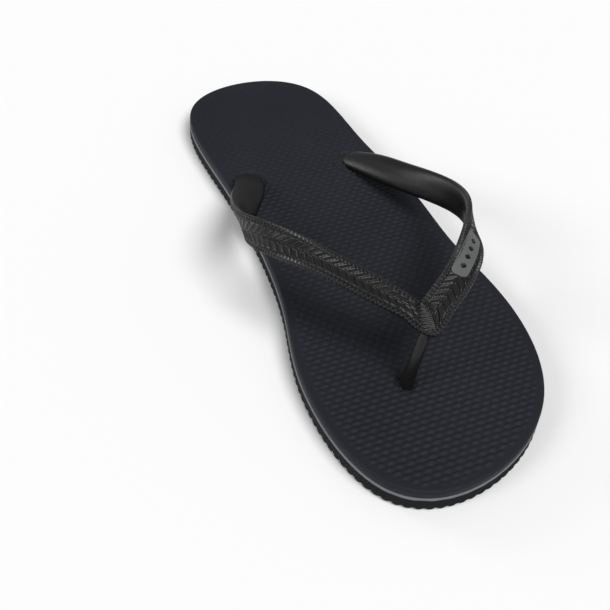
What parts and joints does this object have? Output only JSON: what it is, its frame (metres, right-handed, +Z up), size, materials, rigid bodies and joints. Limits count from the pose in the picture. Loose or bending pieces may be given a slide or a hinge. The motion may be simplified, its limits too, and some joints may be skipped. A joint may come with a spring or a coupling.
{
  "type": "flip flop",
  "caption": "Left thong sandal with a layered foam footbed and rubber outsole, a V strap with a moulded herringbone face, a toe post between the toes and plugs under the sole.",
  "frame": {"origin": "on the ground face of the tread, at the middle of the length and about the middle of the width", "axes": "+Z up from the ground, -Y towards the toes, +X towards the outer side of the left foot"},
  "size_m": [0.1078, 0.2828, 0.052],
  "materials": {
    "footbed": "matte textured foam",
    "stripe": "matte foam",
    "outsole": "matte ribbed rubber",
    "strap": "satin moulded rubber",
    "badge": "raised matte print"
  },
  "bodies": {
    "sole_heel": {"footbed_rear": "footbed", "stripe_rear": "stripe", "outsole_rear": "outsole", "side_plug_medial": "strap", "side_plug_lateral": "strap"},
    "sole_toe": {"footbed_front": "footbed", "stripe_front": "stripe", "outsole_front": "outsole", "toe_plug": "strap"},
    "strap": {"strap_yoke": "strap", "strap_badge": "badge"},
    "post": {"toe_post": "strap"}
  },
  "joints": [
    {"name": "sole_flex", "type": "hinge", "parent": "sole_heel", "child": "sole_toe", "pos_m": [0, -0.05, 0.0059], "axis": [-1, 0, 0], "range_deg": [-10, 40], "stiffness_Nm_per_rad": 1.1},
    {"name": "strap_swing", "type": "hinge", "parent": "sole_heel", "child": "strap", "pos_m": [0, 0.055, 0.0156], "axis": [-1, 0, 0], "range_deg": [-2.7, 10.4]},
    {"name": "post_lean", "type": "hinge", "parent": "sole_toe", "child": "post", "pos_m": [-0.0125, -0.0885, 0.0149], "axis": [1, 0, 0], "range_deg": [-14.2, 56.2]}
  ],
  "couplings": [
    {"joint": "strap_swing", "follows": "sole_flex", "ratio": 0.256},
    {"joint": "post_lean", "follows": "sole_flex", "ratio": 1.401}
  ]
}
